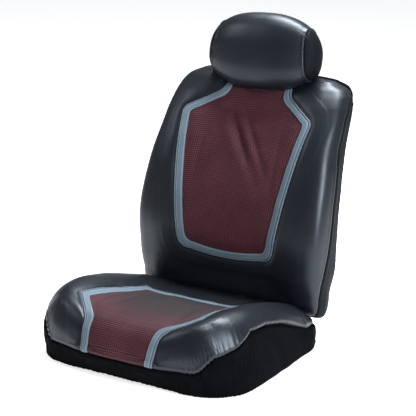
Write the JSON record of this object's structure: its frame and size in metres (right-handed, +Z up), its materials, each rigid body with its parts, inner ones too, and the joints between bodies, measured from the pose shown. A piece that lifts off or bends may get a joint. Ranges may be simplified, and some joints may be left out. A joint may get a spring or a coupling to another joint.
{
  "type": "seat cover set",
  "caption": "Padded leatherette and mesh cover set fitted on a low-back bucket seat with a reclining backrest and a sliding headrest.",
  "frame": {"origin": "on the floor, under the middle of the seat's box", "axes": "+Z up, +X to the right as seen from in front of the seat, +Y from the knees towards the back"},
  "size_m": [0.5388, 0.7313, 0.7384],
  "materials": {
    "leatherette": "satin",
    "red_mesh": "matte",
    "grey_trim": "satin",
    "black_knit": "matte",
    "webbing": "matte",
    "tag_fabric": "matte",
    "foam": "matte",
    "black_paint": "satin",
    "zinc_steel": "satin",
    "post_chrome": "polished",
    "black_plastic": "matte"
  },
  "bodies": {
    "seat": {"cushion_foam": "foam", "cushion_pan": "black_paint", "base_rail_left": "black_paint", "base_rail_right": "black_paint", "pan_bolts": "zinc_steel", "recliner_bracket_left": "black_paint", "recliner_bracket_right": "black_paint", "recliner_bracket_bolts": "zinc_steel", "recliner_pivot_pins": "zinc_steel", "cushion_top_cover": "leatherette", "cushion_trim": "grey_trim", "cushion_insert": "red_mesh", "cushion_front_band": "black_knit", "cushion_skirt_left": "black_knit", "cushion_skirt_right": "black_knit", "cushion_rear_flap": "black_knit", "underseat_straps": "webbing", "underseat_buckles": "black_plastic"},
    "backrest": {"back_foam": "foam", "back_frame_tube": "black_paint", "back_hinge_plate_left": "black_paint", "back_hinge_plate_right": "black_paint", "back_lower_cross_tube": "black_paint", "back_support_wires": "zinc_steel", "headrest_guide_tubes": "black_paint", "headrest_sleeve_left": "black_plastic", "headrest_sleeve_right": "black_plastic", "back_cover_front": "leatherette", "back_trim": "grey_trim", "back_insert": "red_mesh", "back_gusset_left": "black_knit", "back_gusset_right": "black_knit", "back_cover_rear": "black_knit", "back_bottom_flap": "black_knit", "back_closure_tape": "webbing", "back_side_tag": "tag_fabric"},
    "headrest": {"headrest_foam": "foam", "headrest_posts": "post_chrome", "headrest_cover_front": "leatherette", "headrest_cover_rear": "leatherette", "headrest_gusset_left": "leatherette", "headrest_gusset_right": "leatherette"},
    "release_button": {"headrest_release_button": "black_plastic"}
  },
  "joints": [
    {"name": "recline", "type": "hinge", "parent": "seat", "child": "backrest", "pos_m": [0, 0.155, 0.092], "axis": [-1, 0, 0], "range_deg": [-20, 50]},
    {"name": "headrest_height", "type": "slide", "parent": "backrest", "child": "headrest", "axis": [0, 0.342, 0.9397], "range_m": [0, 0.06]},
    {"name": "headrest_release", "type": "slide", "parent": "backrest", "child": "release_button", "axis": [-1, 0, 0], "range_m": [0, 0.003], "stiffness_N_per_m": 800}
  ]
}
